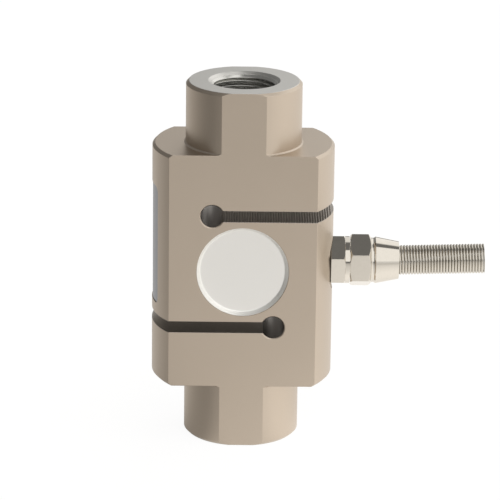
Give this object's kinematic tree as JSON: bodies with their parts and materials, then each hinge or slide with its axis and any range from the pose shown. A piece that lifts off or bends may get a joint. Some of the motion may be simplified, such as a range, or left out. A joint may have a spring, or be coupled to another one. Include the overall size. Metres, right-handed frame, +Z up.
{
  "type": "weighing load cell",
  "caption": "S-shaped tension and compression load cell turned from a steel bar, with threaded load holes, sealed gauge pockets and a sprung cable gland.",
  "frame": {"origin": "centre of the lower neck's end face, which the part stands on", "axes": "+Z up the load axis from the lower threaded hole to the upper one, front flat and front cap towards -Y, cable gland towards +X"},
  "size_m": [0.1013, 0.0324, 0.1108],
  "materials": {
    "plated_steel": "satin nickel plating over fine turning and milling marks",
    "cap_steel": "satin floor with a bright dished rim",
    "plate_foil": "satin bluish foil, bare",
    "plated_brass": "polished nickel plating",
    "spring_steel": "bright drawn wire",
    "seal_rubber": "dark, matt",
    "gauge_film": "amber carrier film with a foil grid",
    "board": "green laminate with tinned pads",
    "resistor": "dark glazed body",
    "copper": "bare copper ribbon",
    "wire_sleeve": "thin insulated wire"
  },
  "bodies": {
    "root": {"spring_element": "plated_steel", "front_cap": "cap_steel", "rear_cap": "cap_steel", "type_plate": "plate_foil", "front_upper_gauge": "gauge_film", "front_lower_gauge": "gauge_film", "rear_upper_gauge": "gauge_film", "rear_lower_gauge": "gauge_film", "front_terminal_board": "board", "rear_terminal_board": "board", "zero_trim_resistor": "resistor", "span_trim_resistor": "resistor", "front_gauge_leads": "copper", "rear_gauge_leads": "copper", "bridge_wires": "wire_sleeve", "gland_body": "plated_brass", "gland_washer": "seal_rubber", "gland_grommet": "seal_rubber", "gland_clamp_ring": "plated_brass", "gland_nut": "plated_brass", "bend_spring": "spring_steel"}
  },
  "joints": []
}
